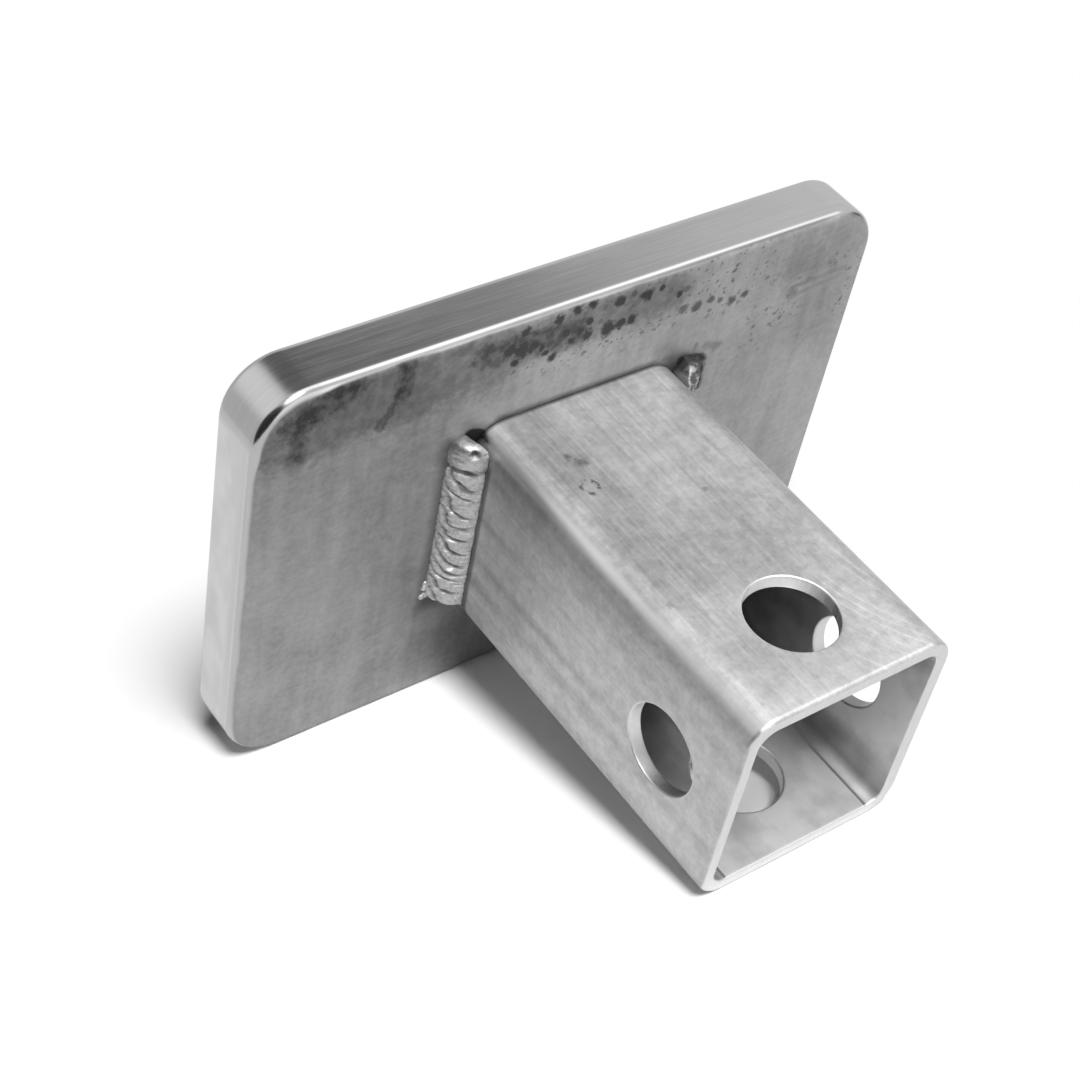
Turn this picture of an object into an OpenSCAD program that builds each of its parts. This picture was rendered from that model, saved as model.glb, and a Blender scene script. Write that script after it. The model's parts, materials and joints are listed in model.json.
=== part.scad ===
// A plug for a square hitch receiver: a thick plate that covers the receiver's
// mouth, with a length of square tube welded to its back. The tube slides into
// the receiver, and a hitch pin goes through a pair of its walls.
//
// Millimetres, +Z up, and +Y the way the tube goes into the receiver. The
// origin is where the axes of the two pin holes cross, inside the tube.

/* [Cover plate] */
// Width of the plate
plate_w = 152.4; // [120:0.1:220]
// Height of the plate
plate_h = 100; // [85:0.5:160]
// Thickness of the plate
plate_t = 14; // [9:0.5:25]
// Radius of the plate's four corners, seen from the front
plate_corner_r = 12; // [6:0.5:25]
// Radius of the round along both rims of the plate
plate_edge_r = 2; // [0.5:0.1:4]

/* [Receiver tube] */
// Outer width of the square tube
tube_w = 50.8; // [45:0.1:63.5]
// Wall of the tube
tube_wall = 3.2; // [2:0.1:6.4]
// Radius of the tube's four long outer edges
tube_corner_r = 7; // [3:0.1:9]
// Length of the tube, from the plate's back to its open end
tube_len = 87.5; // [60:0.5:200]

/* [Pin holes] */
// Diameter of the holes for the hitch pin
pin_hole_d = 19.05; // [13:0.05:24]
// Distance from the tube's open end to the centre of the pin holes
pin_from_end = 19.2; // [16:0.1:30]

/* [Weld beads] */
// Leg of a bead, along the plate and along the tube
bead_leg = 6; // [3:0.1:9]
// Distance from the tube's top and bottom to the ends of a bead
bead_setback = 1.8; // [1:0.1:8]
// Length of one ripple of a bead
ripple_pitch = 3.6; // [2:0.1:8]
// Depth of the valley between two ripples
ripple_depth = 0.55; // [0.1:0.05:1.2]
// Length of the rounded part at each end of a bead
bead_nose = 3.5; // [1:0.1:6]

/* [Hidden] */
$fn = 96;

// Everything along Y is counted from the pin holes at the origin.
tube_end_y = pin_from_end;
plate_back_y = tube_end_y - tube_len;

// The inside of a tube's corner is rounder than nothing even on a thick wall.
least_inner_r = 0.5;
tube_inner_w = tube_w - 2 * tube_wall;
tube_inner_r = max(tube_corner_r - tube_wall, least_inner_r);

// A bead has a whole number of ripples, so their length is made to fit.
bead_len = tube_w - 2 * bead_setback;
ripple_count = round(bead_len / ripple_pitch);
ripple_len = bead_len / ripple_count;
ripple_steps = 6;
quarter_turn = 90;
half_turn = 180;

// How far a cut runs past the solid that it goes through
past = 1;

// Radius of the bead at height z over its lower end. Each ripple is an arch of
// a sine, and the two ends are drawn in like the end of an ellipse.
function ripple_arch(z) = abs(sin(half_turn * z / ripple_len));
function nose_share(z) =
    let (left = min(z, bead_len - z) / bead_nose)
    left >= 1 ? 1 : sqrt(1 - pow(1 - max(left, 0), 2));
function bead_r(z) =
    (bead_leg - ripple_depth * (1 - ripple_arch(z))) * (1 + nose_share(z)) / 2;

// Half of a bead's lengthwise section, which is turned about the corner line
// between the tube and the plate.
function bead_section() = concat(
    [[0, 0]],
    [for (i = [0 : ripple_count * ripple_steps])
        let (z = i * ripple_len / ripple_steps) [bead_r(z), z]],
    [[0, bead_len]]
);

// A rectangle with round corners, centred on the origin
module rounded_rect(w, h, r) {
    square([w - 2 * r, h], center = true);
    square([w, h - 2 * r], center = true);
    for (x = [-1, 1], y = [-1, 1])
        translate([x * (w / 2 - r), y * (h / 2 - r)])
            circle(r);
}

// Half of a slab's section: a bar that stands on y = 0 and whose outer end has
// two round corners
module rim_section(reach, t, edge_r) {
    square([reach - edge_r, t]);
    translate([0, edge_r])
        square([reach, t - 2 * edge_r]);
    for (y = [edge_r, t - edge_r])
        translate([reach - edge_r, y])
            circle(edge_r);
}

// A slab that stands on z = 0, with round corners and a round along both rims.
// The same section is turned about each corner and run along each side.
module rounded_slab(w, h, t, corner_r, edge_r) {
    inner_w = w - 2 * corner_r;
    inner_h = h - 2 * corner_r;
    linear_extrude(t)
        square([inner_w, inner_h], center = true);
    for (side = [0 : 3]) {
        across = side % 2 == 0 ? inner_w : inner_h;
        along = side % 2 == 0 ? inner_h : inner_w;
        rotate([0, 0, side * quarter_turn]) {
            translate([across / 2, 0, 0])
                rotate([quarter_turn, 0, 0])
                    linear_extrude(along, center = true)
                        rim_section(corner_r, t, edge_r);
            translate([across / 2, along / 2, 0])
                rotate_extrude(angle = quarter_turn)
                    rim_section(corner_r, t, edge_r);
        }
    }
}

// The billet plate. Its back face is where the tube starts.
module cover_plate() {
    color([0.62, 0.62, 0.63])
        translate([0, plate_back_y, 0])
            rotate([quarter_turn, 0, 0])
                rounded_slab(plate_w, plate_h, plate_t, plate_corner_r, plate_edge_r);
}

// The square tube, open at both ends, with a pin hole in each of its walls
module shank_tube() {
    color([0.76, 0.76, 0.77])
        difference() {
            translate([0, tube_end_y, 0])
                rotate([quarter_turn, 0, 0])
                    linear_extrude(tube_len)
                        difference() {
                            rounded_rect(tube_w, tube_w, tube_corner_r);
                            rounded_rect(tube_inner_w, tube_inner_w, tube_inner_r);
                        }
            cylinder(h = tube_w + 2 * past, d = pin_hole_d, center = true);
            rotate([0, quarter_turn, 0])
                cylinder(h = tube_w + 2 * past, d = pin_hole_d, center = true);
        }
}

// A fillet bead in the corner between the plate's back and the side of the
// tube that faces +X
module weld_bead() {
    color([0.82, 0.82, 0.82])
        translate([tube_w / 2, plate_back_y, -bead_len / 2])
            rotate_extrude(angle = quarter_turn)
                polygon(bead_section());
}

module weld_bead_left() {
    weld_bead();
}

module weld_bead_right() {
    mirror([1, 0, 0])
        weld_bead();
}

cover_plate();
shank_tube();
weld_bead_left();
weld_bead_right();
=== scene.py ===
# %% [markdown]
# # A hitch receiver plug in bare aluminium
# The object is a thick plate with a length of square tube welded to its back.
# In use the tube goes into a vehicle's hitch receiver, a pin goes through it,
# and the plate covers the opening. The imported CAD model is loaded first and
# stays as it is: every piece made here is built on sizes read from it.

# %% Load the fixed frame
import json
import math

import bmesh
import bpy
from mathutils import Matrix, Vector, noise


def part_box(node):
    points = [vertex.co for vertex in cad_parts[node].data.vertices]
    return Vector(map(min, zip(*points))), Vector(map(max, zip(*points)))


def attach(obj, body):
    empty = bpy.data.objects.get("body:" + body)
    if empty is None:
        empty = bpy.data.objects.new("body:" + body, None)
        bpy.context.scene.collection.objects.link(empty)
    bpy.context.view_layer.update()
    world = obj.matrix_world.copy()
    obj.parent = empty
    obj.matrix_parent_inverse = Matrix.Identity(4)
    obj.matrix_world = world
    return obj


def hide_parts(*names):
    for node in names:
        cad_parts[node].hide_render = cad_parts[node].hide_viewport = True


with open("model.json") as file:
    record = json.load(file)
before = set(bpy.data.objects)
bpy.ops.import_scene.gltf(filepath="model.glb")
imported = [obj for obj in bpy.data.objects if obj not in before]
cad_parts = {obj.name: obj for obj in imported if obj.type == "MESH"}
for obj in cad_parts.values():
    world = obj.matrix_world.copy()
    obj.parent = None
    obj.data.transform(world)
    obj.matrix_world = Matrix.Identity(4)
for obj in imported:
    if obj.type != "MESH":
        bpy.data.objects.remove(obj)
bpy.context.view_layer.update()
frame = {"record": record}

# %% [markdown]
# ## Sizes
# Blender works in metres. The plate's and the tube's outer sizes come from the
# boxes of their CAD nodes and the pin holes from the record's mounts, so they
# can't drift from the model. Radii and small edge breaks aren't in a box, so
# they are written here once, in millimetres.

# %% Read and name the sizes
MM = 0.001

plate_low, plate_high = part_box("cover_plate")
tube_low, tube_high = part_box("shank_tube")
bead_low, bead_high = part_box("weld_bead_left")
mounts = {mount["name"]: mount for mount in frame["record"]["mounts"]}

plate_back = plate_high.y
plate_front = plate_low.y
plate_half_w = plate_high.x
plate_half_h = plate_high.z
plate_corner_r = 12 * MM
plate_rim_r = 2 * MM

tube_half = tube_high.x
tube_mouth = tube_high.y
tube_wall = 3.2 * MM
tube_corner_r = 7 * MM
tube_flat_half = tube_half - tube_corner_r
pin_r = mounts["hitch_pin"]["dims"]["r_mm"] * MM

bead_leg = bead_high.x - tube_half
bead_len = bead_high.z - bead_low.z
print("pin hole radius in mm:", round(pin_r / MM, 3), "bead leg in mm:", round(bead_leg / MM, 2))

# %% [markdown]
# ## Camera
# The picture looks down at the back of the plate from over the open end of the
# tube. A camera can be given by its place, the point it looks at, its roll and
# its lens. Written so, each number says something, which a matrix doesn't.

# %% Set the camera
camera_place = Vector((236.7, 173.8, 310.9)) * MM
camera_aim = Vector((24.52, -44.63, 15.38)) * MM
camera_roll = math.radians(12.405)
camera_lens = 73.02
sensor_width = 36.0

camera_data = bpy.data.cameras.new("camera")
camera_data.lens = camera_lens
camera_data.sensor_width = sensor_width
camera_data.clip_start = 0.01
camera = bpy.data.objects.new("camera", camera_data)
bpy.context.scene.collection.objects.link(camera)
look = (camera_aim - camera_place).to_track_quat("-Z", "Y").to_matrix().to_4x4()
camera.matrix_world = Matrix.Translation(camera_place) @ look @ Matrix.Rotation(camera_roll, 4, "Z")
bpy.context.scene.camera = camera
bpy.context.scene.view_settings.view_transform = "Standard"
print("camera right:", [round(v, 4) for v in camera.matrix_world.col[0][:3]])


# %% [markdown]
# ## Small helpers for mesh code
# Both the plate and the tube are lofts: one closed outline is drawn again and
# again at different depths, and neighbouring rings are joined by quads. Writing
# the rings by hand costs more than a cube with a Bevel modifier, but it gives
# exact round corners, a rim of any profile and clean quads for smooth shading.

# %% Outlines, rings and lofts
side_parts = 24


def side_steps(flat, given=()):
    """Places along a flat side, even or as given, with two more close to its ends."""
    near_end = min(0.3 * MM, flat / 4)
    places = {-flat, -flat + near_end, flat - near_end, flat}
    places.update(given or [flat * (2 * k / side_parts - 1) for k in range(1, side_parts)])
    return sorted(places)


def rounded_outline(half_a, half_b, radius, steps_a, steps_b, arc_steps):
    """Points (a, b) once round a rounded rectangle, from its right side towards its top."""
    flat_a = half_a - radius
    flat_b = half_b - radius
    sides = [
        (steps_b, lambda s: (half_a, s), (flat_a, flat_b)),
        (steps_a, lambda s: (-s, half_b), (-flat_a, flat_b)),
        (steps_b, lambda s: (-half_a, -s), (-flat_a, -flat_b)),
        (steps_a, lambda s: (s, -half_b), (flat_a, -flat_b)),
    ]
    points = []
    for side, (steps, place, (centre_a, centre_b)) in enumerate(sides):
        points += [place(s) for s in steps]
        for k in range(1, arc_steps):
            turn = math.radians(90 * (side + k / arc_steps))
            points.append((centre_a + radius * math.cos(turn), centre_b + radius * math.sin(turn)))
    return points


def add_ring(bm, outline, y):
    return [bm.verts.new((a, y, b)) for a, b in outline]


def join_rings(bm, first, second):
    """Quads between two rings of equal length, round to the start again."""
    for i in range(len(first)):
        j = (i + 1) % len(first)
        bm.faces.new((first[i], first[j], second[j], second[i]))


def finish_piece(mesh_or_bm, name, material, replaced=()):
    """Makes a smooth-shaded object that faces outwards, rides on the body and has its slot."""
    bm = mesh_or_bm
    if isinstance(mesh_or_bm, bpy.types.Mesh):
        bm = bmesh.new()
        bm.from_mesh(mesh_or_bm)
    bmesh.ops.remove_doubles(bm, verts=bm.verts, dist=0.001 * MM)
    bmesh.ops.dissolve_degenerate(bm, edges=bm.edges, dist=0.0001 * MM)
    bmesh.ops.recalc_face_normals(bm, faces=bm.faces)
    open_edges = sum(1 for edge in bm.edges if not edge.is_manifold)
    mesh = bpy.data.meshes.new(name)
    bm.to_mesh(mesh)
    bm.free()
    mesh.shade_smooth()
    mesh.materials.clear()
    mesh.materials.append(material)
    piece = bpy.data.objects.new(name, mesh)
    bpy.context.scene.collection.objects.link(piece)
    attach(piece, "root")
    if replaced:
        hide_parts(*replaced)
    print(name, "has", len(mesh.polygons), "faces and", open_edges, "open edges")


# %% [markdown]
# ## Small helpers for node trees
# Shader and geometry trees are easier to read when a node can be made, set and
# wired in one line. `Wires` holds a tree and gives a method for each kind of
# step used below. A value that is a socket is linked, and any other is set.
# Most steps give a `Number`. Adding, subtracting, multiplying or dividing one
# adds a Math node, so a sum in a tree is written like any other sum.

# %% A short way to write node trees
class Number:
    """An output of a node tree that works in sums like a plain number, by adding Math nodes."""

    def __init__(self, wires, socket):
        self.wires = wires
        self.socket = socket

    def __add__(self, other):
        return self.wires.math("ADD", self, other)

    def __sub__(self, other):
        return self.wires.math("SUBTRACT", self, other)

    def __rsub__(self, other):
        return self.wires.math("SUBTRACT", other, self)

    def __mul__(self, other):
        return self.wires.math("MULTIPLY", self, other)

    def __truediv__(self, other):
        return self.wires.math("DIVIDE", self, other)

    def __rtruediv__(self, other):
        return self.wires.math("DIVIDE", other, self)

    def __abs__(self):
        return self.wires.math("ABSOLUTE", self)

    __radd__ = __add__
    __rmul__ = __mul__


class Wires:
    """Adds nodes to a tree."""

    def __init__(self, tree):
        self.tree = tree

    def put(self, socket, value):
        if isinstance(value, Number):
            value = value.socket
        if isinstance(value, bpy.types.NodeSocket):
            self.tree.links.new(value, socket)
        else:
            socket.default_value = value

    def node(self, kind, inputs=(), **settings):
        made = self.tree.nodes.new(kind)
        for key, value in settings.items():
            setattr(made, key, value)
        for key, value in dict(inputs).items():
            self.put(made.inputs[key], value)
        return made

    def numbers(self, node):
        """The outputs of a node by name, ready for sums."""
        return {socket.name: Number(self, socket) for socket in node.outputs}

    def math(self, operation, *values, clamp=False):
        made = self.node("ShaderNodeMath", enumerate(values), operation=operation, use_clamp=clamp)
        return Number(self, made.outputs[0])

    def vector(self, operation, *values):
        made = self.node("ShaderNodeVectorMath", enumerate(values), operation=operation)
        gives_number = operation in ("LENGTH", "DISTANCE", "DOT_PRODUCT")
        return Number(self, made.outputs["Value"]) if gives_number else made.outputs["Vector"]

    def scaled(self, vector, factor):
        made = self.node("ShaderNodeVectorMath", {"Vector": vector, "Scale": factor}, operation="SCALE")
        return made.outputs["Vector"]

    def split(self, vector):
        made = self.node("ShaderNodeSeparateXYZ", {"Vector": vector})
        return [Number(self, socket) for socket in made.outputs]

    def join(self, x, y, z):
        return self.node("ShaderNodeCombineXYZ", {"X": x, "Y": y, "Z": z}).outputs["Vector"]

    def ramp(self, value, low, high, to_low=0.0, to_high=1.0):
        """A smooth step from to_low to to_high as value goes from low to high."""
        made = self.node(
            "ShaderNodeMapRange",
            {"Value": value, "From Min": low, "From Max": high, "To Min": to_low, "To Max": to_high},
            interpolation_type="SMOOTHSTEP",
        )
        return Number(self, made.outputs["Result"])

    def zone(self, *edges):
        """Where several ramps meet: each edge holds the values that ramp takes."""
        first, *others = [self.ramp(*edge) for edge in edges]
        return math.prod(others, start=first)

    def noise(self, vector, scale, detail=3.0, roughness=0.55):
        made = self.node(
            "ShaderNodeTexNoise",
            {"Vector": vector, "Scale": scale, "Detail": detail, "Roughness": roughness},
        )
        return Number(self, made.outputs[0])

    def blend(self, share, first, second):
        """first where share is 0, second where it is 1."""
        return share * (second - first) + first

    def most(self, *values):
        result = values[0]
        for value in values[1:]:
            result = self.math("MAXIMUM", result, value)
        return result

    def larger(self, first, second):
        """1 where first is larger than second, and 0 elsewhere."""
        return self.math("GREATER_THAN", first, second)

    def sway(self, pattern, amount):
        """A pattern between 0 and 1 as a swing of this amount about 0."""
        return (pattern - 0.5) * amount

    def group(self, tree, **inputs):
        """Places a shader node group, and gives its outputs."""
        made = self.node("ShaderNodeGroup", node_tree=tree)
        for key, value in inputs.items():
            self.put(made.inputs[key], value)
        return self.numbers(made)


# %% [markdown]
# ## Effects that several finishes share
# Bare aluminium gets its look from a few things: streaks along the direction it
# was drawn or brushed, soft clouds of tone, dark stains with a wobbly edge, and
# small pits. The group for the stains also draws the few marks of painted shade.
# Each is a shader node group with named inputs, built once. All of them read a
# position in millimetres, so every size in them is a real one.

# %% Start a group with named sockets
def new_group(name, inputs, outputs):
    """A shader node group. inputs maps each name to its default value."""
    tree = bpy.data.node_groups.new(name, "ShaderNodeTree")
    for key, value in inputs.items():
        kind = "NodeSocketVector" if isinstance(value, tuple) else "NodeSocketFloat"
        socket = tree.interface.new_socket(key, in_out="INPUT", socket_type=kind)
        socket.default_value = value
    for key in outputs:
        tree.interface.new_socket(key, in_out="OUTPUT", socket_type="NodeSocketFloat")
    wires = Wires(tree)
    entry = wires.numbers(wires.node("NodeGroupInput"))
    leave = wires.node("NodeGroupOutput").inputs
    return wires, entry, leave


# %% Streaks and clouds
def build_streaks():
    """Fine lines and broad bands along the axis that Stretch shrinks."""
    wires, entry, leave = new_group(
        "streaks",
        {"Place": (0.0, 0.0, 0.0), "Stretch": (1.0, 1.0, 1.0), "Seed": 0.0},
        ["Lines", "Bands"],
    )
    drawn = wires.vector("MULTIPLY", entry["Place"], entry["Stretch"])
    moved = wires.vector("ADD", drawn, wires.join(entry["Seed"], entry["Seed"], entry["Seed"]))
    lines = wires.noise(moved, 1.7, detail=5.0, roughness=0.7)
    bands = wires.noise(moved, 0.3, detail=3.0, roughness=0.5)
    wires.put(leave["Lines"], wires.ramp(lines, 0.32, 0.68))
    wires.put(leave["Bands"], wires.ramp(bands, 0.34, 0.66))
    return wires.tree


def build_clouds():
    """Soft patches of tone about Size across, and finer mottling inside them."""
    wires, entry, leave = new_group(
        "clouds", {"Place": (0.0, 0.0, 0.0), "Size": 20.0, "Seed": 0.0}, ["Cloud", "Mottle"]
    )
    moved = wires.vector("ADD", entry["Place"], wires.join(entry["Seed"], entry["Seed"], entry["Seed"]))
    scale = 1.0 / entry["Size"]
    cloud = wires.noise(moved, scale, detail=2.0, roughness=0.5)
    mottle = wires.noise(moved, scale * 7.0, detail=4.0, roughness=0.65)
    wires.put(leave["Cloud"], wires.ramp(cloud, 0.34, 0.66))
    wires.put(leave["Mottle"], wires.ramp(mottle, 0.34, 0.66))
    return wires.tree


streaks = build_streaks()
clouds = build_clouds()


# %% Stains and pits
def build_stain():
    """A dark mark along the stroke from From to To, for stains and painted shade: Depth in its middle, 0
    outside its wobbly edge.
    """
    wires, entry, leave = new_group(
        "stain_and_shade_mark",
        {
            "Place": (0.0, 0.0, 0.0),
            "From": (0.0, 0.0, 0.0),
            "To": (0.0, 0.0, 0.0),
            "Radius": 2.0,
            "Softness": 0.4,
            "Wobble": 0.3,
            "Depth": 1.0,
        },
        ["Mask"],
    )
    ragged = wires.noise(entry["Place"], 0.8, detail=4.0, roughness=0.65)
    offset = (ragged - 0.5) * entry["Wobble"]
    stroke = wires.vector("SUBTRACT", entry["To"], entry["From"])
    here = wires.vector("SUBTRACT", entry["Place"], entry["From"])
    length_squared = wires.vector("DOT_PRODUCT", stroke, stroke) + 0.0001
    passed = wires.math("DIVIDE", wires.vector("DOT_PRODUCT", here, stroke), length_squared, clamp=True)
    away = wires.vector("DISTANCE", here, wires.scaled(stroke, passed))
    share = away / entry["Radius"] + offset * 4.0
    low = 1 - entry["Softness"]
    high = 1.0 + entry["Softness"]
    wires.put(leave["Mask"], wires.ramp(share, low, high, entry["Depth"], 0.0))
    return wires.tree


def build_pits():
    """Small round pits, one in some of the cells of a grid of Cell millimetres."""
    wires, entry, leave = new_group(
        "pits", {"Place": (0.0, 0.0, 0.0), "Cell": 3.0, "Share": 0.5, "Size": 0.3}, ["Mask"]
    )
    cells = wires.node("ShaderNodeTexVoronoi", {"Vector": entry["Place"], "Scale": 1.0 / entry["Cell"]})
    chance, size, _ = wires.split(cells.outputs["Color"])
    radius = entry["Size"] * (0.8 * size + 0.4)
    inside = wires.ramp(cells.outputs["Distance"], radius * 0.6, radius, 1.0, 0.0)
    chosen = wires.math("LESS_THAN", chance, entry["Share"])
    wires.put(leave["Mask"], inside * chosen)
    return wires.tree


stain_and_shade_mark = build_stain()
pits = build_pits()


# %% [markdown]
# ## A metal finish
# Metal has no colour of its own under the gloss: what is seen is the studio,
# tinted and blurred. So a bare metal is a Principled BSDF with Metallic at 1,
# where the base colour says how much comes back and the roughness how blurred
# it is. The helper starts such a material and gives the object's own position.

# %% Start a metal material
def new_metal(name):
    """A material with a metallic shader, and its wires, shader and place in millimetres."""
    material = bpy.data.materials.new(name)
    material.use_nodes = True
    material.node_tree.nodes.clear()
    wires = Wires(material.node_tree)
    shader = wires.node("ShaderNodeBsdfPrincipled", {"Metallic": 1.0})
    wires.node("ShaderNodeOutputMaterial", {"Surface": shader.outputs["BSDF"]})
    position = wires.node("ShaderNodeTexCoord").outputs["Object"]
    return material, wires, shader, wires.scaled(position, 1 / MM)


def set_finish(wires, shader, tone, roughness, height):
    """Feeds a neutral grey of this tone, the roughness and a bump height in millimetres."""
    colour = wires.node("ShaderNodeCombineColor", {"Red": tone, "Green": tone, "Blue": tone})
    wires.put(shader.inputs["Base Color"], colour.outputs["Color"])
    wires.put(shader.inputs["Roughness"], roughness)
    bump = wires.node("ShaderNodeBump", {"Height": height, "Distance": MM, "Strength": 1.0})
    wires.put(shader.inputs["Normal"], bump.outputs["Normal"])


# %% [markdown]
# ## The cover plate's finish
# The plate was cut from mill-finish bar. Its edges were rounded and polished, up
# to a border that wanders a little, while the back kept its dull skin. Dark
# blots dried there in the upper half, thickest above the tube, with smears on
# the left and fine dots on the right. Some dark marks are painted shade: the
# pocket by the left bead's top, the band over and under the tube at the joint,
# part of the soot by the beads and a patch below the left bead. Painted shade
# also dims the polished rims' reflections in places. A list of marks, each with
# its place and size, is easier to match to a real plate than one noise pattern
# over all of it. Noise still tears their edges, because a clean round mark looks
# drawn.

# %% Where the plate is stained, and where shade is painted
def dark_stroke(start, end, radius, depth=0.8, softness=0.8, wobble=0.3):
    """A dark stroke on the plate's back, for smudges, soot and painted shade. Its ends (x, z) and its radius
    are in millimetres.
    """
    return {
        "start": start, "end": end, "radius": radius, "depth": depth, "softness": softness, "wobble": wobble
    }


def blots(depth, *marks):
    """Round marks of one depth, each given as (x, z, radius)."""
    return [dark_stroke((x, z), (x, z), radius, depth, softness=0.5, wobble=0.5) for x, z, radius in marks]


# Painted shade: the dark pocket between the tube's round corner, the plate and the left bead's top.
pocket_shade = dark_stroke((26.2, 23.8), (24.3, 23.0), 1.9, depth=1.0, softness=0.25, wobble=0.15)
blots_and_pocket_shade = [
    pocket_shade,
    *blots(
        0.9, (17, 47.0, 1.5), (17, 42.5, 2.4), (20, 43.5, 2.0), (14.5, 42.5, 1.9), (12, 41.5, 1.3),
        (9, 47.2, 1.5), (5, 48.2, 1.4), (6.5, 43.2, 1.5), (9, 38.0, 1.1), (5, 40.5, 1.3), (1, 48.2, 1.4),
        (1, 44.2, 1.2), (1, 40.8, 1.5), (-4.3, 40.5, 2.1), (-7.6, 40.6, 1.5), (-10, 40.8, 1.5),
        (-5.9, 46.6, 1.5), (-16.6, 46.6, 0.9), (-21.7, 43.3, 1.0), (18.5, 39.8, 1.0), (11, 39.6, 0.9),
        (3.2, 42.3, 1.2),
    ),
    *blots(0.92, (-12.9, 46.2, 1.9)),
    *blots(
        0.7, (-27.8, 38.1, 1.3), (-31.2, 38.6, 0.9), (-37.5, 36.4, 1.1), (-41, 36.8, 0.9), (23, 41.5, 1.8),
        (3.5, 44.8, 1.0), (-9.4, 47.6, 0.9),
    ),
    *blots(
        0.6, (-23.6, 44.0, 0.9), (-24.2, 38.6, 1.3), (-34.2, 37.5, 0.7), (13, 45.5, 1.2), (-1.8, 43.0, 0.9),
        (-2.4, 46.4, 1.0), (-9.8, 44.4, 0.8), (-19.2, 45.0, 0.8),
    ),
    *blots(0.5, (26, 46.5, 2.6), (-13.6, 41.8, 1.0)),
    *blots(0.4, (-15.7, 42.0, 1.7)),
]

smears_and_shade_on_the_left = [
    dark_stroke((56.0, 48.0), (68.0, 42.5), 4.6, depth=0.92),
    dark_stroke((67.0, 41.5), (66.8, 35.0), 2.8, depth=0.82),
    dark_stroke((70.5, 43.5), (70.5, 42.5), 2.4, depth=0.70),
    dark_stroke((65.0, 34.6), (59.5, 35.6), 1.6, depth=0.45),
    dark_stroke((44.2, 48.6), (44.6, 42.0), 2.8, depth=0.90),
    dark_stroke((45.0, 41.5), (48.4, 35.4), 1.6, depth=0.78, wobble=0.7),
    dark_stroke((40.5, 37.0), (39.0, 36.0), 2.2, depth=0.50),
    dark_stroke((33.5, 43.0), (32.0, 38.5), 2.3, depth=0.55),
    dark_stroke((71.0, 42.0), (24.0, 43.5), 8.5, depth=0.52, softness=0.5),
    # Painted shade on the plate below the left bead, beside the tube's underside.
    dark_stroke((40.0, -42.0), (26.0, -40.0), 8.0, depth=0.22),
]
smears_above_the_tube = [
    dark_stroke((31.0, 47.8), (24.0, 44.0), 2.8, depth=0.60),
    dark_stroke((26.0, 44.5), (4.0, 43.0), 4.2, depth=0.85, softness=0.7),
    dark_stroke((14.0, 44.0), (-20.0, 44.0), 5.0, depth=0.50, softness=0.6),
]
# Soot by the beads' tops, and painted shade in the dark hollows beside the far bead.
soot_and_shade_by_the_beads = [
    dark_stroke((27.8, 24.8), (30.4, 23.6), 0.6, depth=0.50, softness=0.6, wobble=0.2),
    dark_stroke((-27.5, 23.5), (-32.0, 22.5), 1.6, depth=0.95, softness=0.4),
    dark_stroke((-32.6, 21.5), (-33.2, 14.5), 1.9, depth=0.97, softness=0.35, wobble=0.25),
    dark_stroke((-33.5, 25.6), (-37.0, 24.2), 1.1, depth=0.36, softness=0.9, wobble=0.6),
    dark_stroke((-30.0, 24.5), (-30.6, 26.6), 0.6, depth=0.50),
]
smears_on_the_right = [
    dark_stroke((-66.0, 40.0), (-64.0, 22.0), 6.0, depth=0.16, softness=0.6),
    dark_stroke((-55.0, 40.0), (-62.0, 37.5), 4.5, depth=0.26, softness=0.9, wobble=0.6),
    dark_stroke((-56.0, 34.0), (-70.0, 34.6), 0.8, depth=0.34, softness=0.9, wobble=0.5),
    dark_stroke((-57.0, 31.4), (-68.0, 32.2), 0.6, depth=0.26, softness=0.9, wobble=0.5),
    dark_stroke((-55.4, 32.8), (-55.9, 31.8), 1.3, depth=0.42, softness=0.9, wobble=0.6),
]
dark_strokes = smears_and_shade_on_the_left + smears_above_the_tube + soot_and_shade_by_the_beads + smears_on_the_right
print(len(blots_and_pocket_shade), "blots and", len(dark_strokes), "smears on the plate")


# %% Marks on the plate's back
# A pair of places says where a mark begins and where it is full, in millimetres.
dots_above = (30.0, 38.0)
dots_on_the_left_to = (30.0, 16.0)
dots_on_the_right_to = (-56.0, -40.0)
specks_above = (14.0, 24.0)
specks_below = (44.0, 38.0)
specks_from = (-36.0, -46.0)
most_specks = 0.75
dot_depth = 0.55
worn_corner = (106.0, 114.0)
worn_further = 0.8


def stains_and_shade_of(wires, place, marks):
    """The strongest of several dark marks at each point of the plate's back, which are stains and in a few
    places painted shade.
    """
    masks = [
        wires.group(
            stain_and_shade_mark,
            Place=place,
            From=(spot["start"][0], plate_back / MM, spot["start"][1]),
            To=(spot["end"][0], plate_back / MM, spot["end"][1]),
            Radius=spot["radius"],
            Softness=spot["softness"],
            Wobble=spot["wobble"],
            Depth=spot["depth"],
        )["Mask"]
        for spot in marks
    ]
    return wires.most(*masks)


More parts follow.
